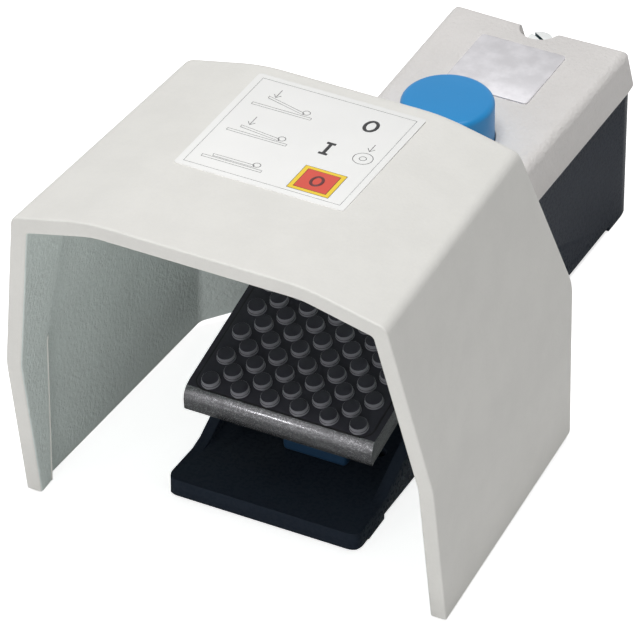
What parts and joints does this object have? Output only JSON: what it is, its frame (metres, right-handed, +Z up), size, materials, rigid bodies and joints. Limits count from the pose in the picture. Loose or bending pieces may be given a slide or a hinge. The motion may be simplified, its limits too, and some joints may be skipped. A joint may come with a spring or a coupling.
{
  "type": "industrial foot switch",
  "caption": "Guarded foot switch: hinged studded pedal under a faceted sheet hood, long cast housing behind it with a lid and a round release knob.",
  "frame": {"origin": "centre of the bounding box's footprint, on the floor that the foot pads rest on", "axes": "+Z up, -Y toward the foot's side of the hood, +Y toward the cable entry, X across"},
  "size_m": [0.16, 0.273, 0.142],
  "materials": {
    "cast_black": "gloss black enamel on die cast",
    "lid_paint": "light grey fine structure paint",
    "gasket": "matt",
    "zinc_screw": "zinc plated",
    "plate_foil": "satin silver foil",
    "hood_paint": "light grey fine structure paint",
    "label_film": "white printed film",
    "hood_screw": "zinc plated",
    "pin_steel": "ground",
    "clip_steel": "phosphated spring steel",
    "bush_brass": "turned",
    "seal_rubber": "matt",
    "block_plastic": "moulded thermoset",
    "contact_brass": "stamped",
    "terminal_zinc": "zinc plated",
    "bracket_steel": "zinc plated sheet",
    "guide_plastic": "moulded",
    "buffer_blue": "moulded",
    "pedal_metal": "dark metallic paint on die cast",
    "mat_rubber": "matt, studded",
    "yoke_plastic": "moulded",
    "knob_blue": "satin moulded",
    "spring_steel": "bright wire"
  },
  "bodies": {
    "base": {"base_housing": "cast_black", "housing_lid": "lid_paint", "lid_gasket": "gasket", "lid_screws": "zinc_screw", "name_plate": "plate_foil", "hood": "hood_paint", "hood_label": "label_film", "hood_screws": "hood_screw", "hinge_pin": "pin_steel", "pin_clips": "clip_steel", "plunger_bush": "bush_brass", "plunger_seal": "seal_rubber", "contact_block_left": "block_plastic", "contact_block_right": "block_plastic", "fixed_contacts": "contact_brass", "terminal_screws": "terminal_zinc", "block_screws": "terminal_zinc", "earth_screw": "terminal_zinc", "latch_bracket": "bracket_steel", "latch_pin": "pin_steel", "bracket_screws": "terminal_zinc", "knob_guide": "guide_plastic", "knob_seal": "seal_rubber", "pedal_stop": "buffer_blue", "plunger_spring": "spring_steel", "knob_spring": "spring_steel"},
    "pedal": {"pedal_plate": "pedal_metal", "pedal_mat": "mat_rubber", "pedal_bushes": "bush_brass"},
    "plunger": {"plunger": "pin_steel", "plunger_yoke": "yoke_plastic", "contact_bridges": "contact_brass"},
    "knob": {"release_knob": "knob_blue", "knob_stem": "pin_steel", "stem_circlip": "clip_steel"},
    "latch": {"latch_lever": "bracket_steel"}
  },
  "joints": [
    {"name": "pedal_hinge", "type": "hinge", "parent": "base", "child": "pedal", "pos_m": [0, 0.004, 0.05], "axis": [1, 0, 0], "range_deg": [0, 12], "stiffness_Nm_per_rad": 3, "springref_deg": -6.88, "deforming": ["plunger_spring"]},
    {"name": "plunger_slide", "type": "slide", "parent": "base", "child": "plunger", "axis": [0, 1, 0], "range_m": [0, 0.0038]},
    {"name": "knob_slide", "type": "slide", "parent": "base", "child": "knob", "axis": [0, 0, -1], "range_m": [0, 0.003], "stiffness_N_per_m": 1500, "springref_m": -0.002, "deforming": ["knob_spring"]},
    {"name": "latch_hinge", "type": "hinge", "parent": "base", "child": "latch", "pos_m": [0, 0.04, 0.05], "axis": [-1, 0, 0], "range_deg": [0, 16.2]}
  ],
  "couplings": [
    {"joint": "plunger_slide", "follows": "pedal_hinge", "m_per_rad": 0.018},
    {"joint": "latch_hinge", "follows": "knob_slide", "rad_per_m": 93.1}
  ]
}
